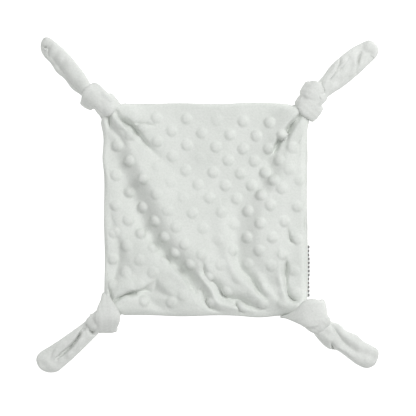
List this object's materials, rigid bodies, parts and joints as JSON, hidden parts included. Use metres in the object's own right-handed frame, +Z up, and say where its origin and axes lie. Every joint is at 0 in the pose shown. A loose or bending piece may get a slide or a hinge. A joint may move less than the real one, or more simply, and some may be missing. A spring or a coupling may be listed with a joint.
{
  "type": "comfort blanket",
  "caption": "Small square plush comfort blanket with a dimple-dot front, smooth back, an overhand knot and soft tail at each corner, and a folded label in one side seam.",
  "frame": {"origin": "on the surface it lies on, under the middle of the square of the two panels", "axes": "+X towards the side with the label, +Y towards the top edge, +Z up out of the dotted face"},
  "size_m": [0.3029, 0.295, 0.0204],
  "materials": {
    "dimple_plush": "short-pile polyester plush embossed with raised round dots, pale sage grey",
    "smooth_plush": "short-pile smooth polyester plush, pale warm grey",
    "sewing_thread": "twisted polyester sewing thread, matt",
    "woven_satin": "woven satin ribbon, soft gloss, plain dashed grey stripe"
  },
  "bodies": {
    "blanket": {"front_panel": "dimple_plush", "back_panel": "smooth_plush", "top_seam_thread": "sewing_thread", "right_seam_thread": "sewing_thread", "bottom_seam_thread": "sewing_thread", "left_seam_thread": "sewing_thread"},
    "top_left_knot": {"top_left_knot": "smooth_plush"},
    "top_left_tail": {"top_left_tail": "smooth_plush"},
    "top_right_knot": {"top_right_knot": "smooth_plush"},
    "top_right_tail": {"top_right_tail": "smooth_plush"},
    "bottom_left_knot": {"bottom_left_knot": "smooth_plush"},
    "bottom_left_tail": {"bottom_left_tail": "smooth_plush"},
    "bottom_right_knot": {"bottom_right_knot": "smooth_plush"},
    "bottom_right_tail": {"bottom_right_tail": "smooth_plush"},
    "label": {"side_label": "woven_satin"}
  },
  "joints": [
    {"name": "top_left_corner_lift", "type": "hinge", "parent": "blanket", "child": "top_left_knot", "pos_m": [-0.08337, 0.08687, 0.0085], "axis": [0.7071, 0.7071, 0], "range_deg": [0, 60]},
    {"name": "top_left_tail_lift", "type": "hinge", "parent": "top_left_knot", "child": "top_left_tail", "pos_m": [-0.10387, 0.10737, 0.007], "axis": [0.7071, 0.7071, 0], "range_deg": [0, 60]},
    {"name": "top_right_corner_lift", "type": "hinge", "parent": "blanket", "child": "top_right_knot", "pos_m": [0.08337, 0.08687, 0.0085], "axis": [0.6691, -0.7431, 0], "range_deg": [0, 60]},
    {"name": "top_right_tail_lift", "type": "hinge", "parent": "top_right_knot", "child": "top_right_tail", "pos_m": [0.10492, 0.10627, 0.007], "axis": [0.6691, -0.7431, 0], "range_deg": [0, 60]},
    {"name": "bottom_left_corner_lift", "type": "hinge", "parent": "blanket", "child": "bottom_left_knot", "pos_m": [-0.08337, -0.08687, 0.0085], "axis": [-0.6428, 0.766, 0], "range_deg": [0, 60]},
    {"name": "bottom_left_tail_lift", "type": "hinge", "parent": "bottom_left_knot", "child": "bottom_left_tail", "pos_m": [-0.10558, -0.10551, 0.007], "axis": [-0.6428, 0.766, 0], "range_deg": [0, 60]},
    {"name": "bottom_right_corner_lift", "type": "hinge", "parent": "blanket", "child": "bottom_right_knot", "pos_m": [0.08337, -0.08687, 0.0085], "axis": [-0.6018, -0.7986, 0], "range_deg": [0, 60]},
    {"name": "bottom_right_tail_lift", "type": "hinge", "parent": "bottom_right_knot", "child": "bottom_right_tail", "pos_m": [0.10653, -0.10432, 0.007], "axis": [-0.6018, -0.7986, 0], "range_deg": [0, 60]},
    {"name": "label_swing", "type": "hinge", "parent": "blanket", "child": "label", "pos_m": [0.09255, -0.056, 0.008], "axis": [0, -1, 0], "range_deg": [0, 150]}
  ]
}
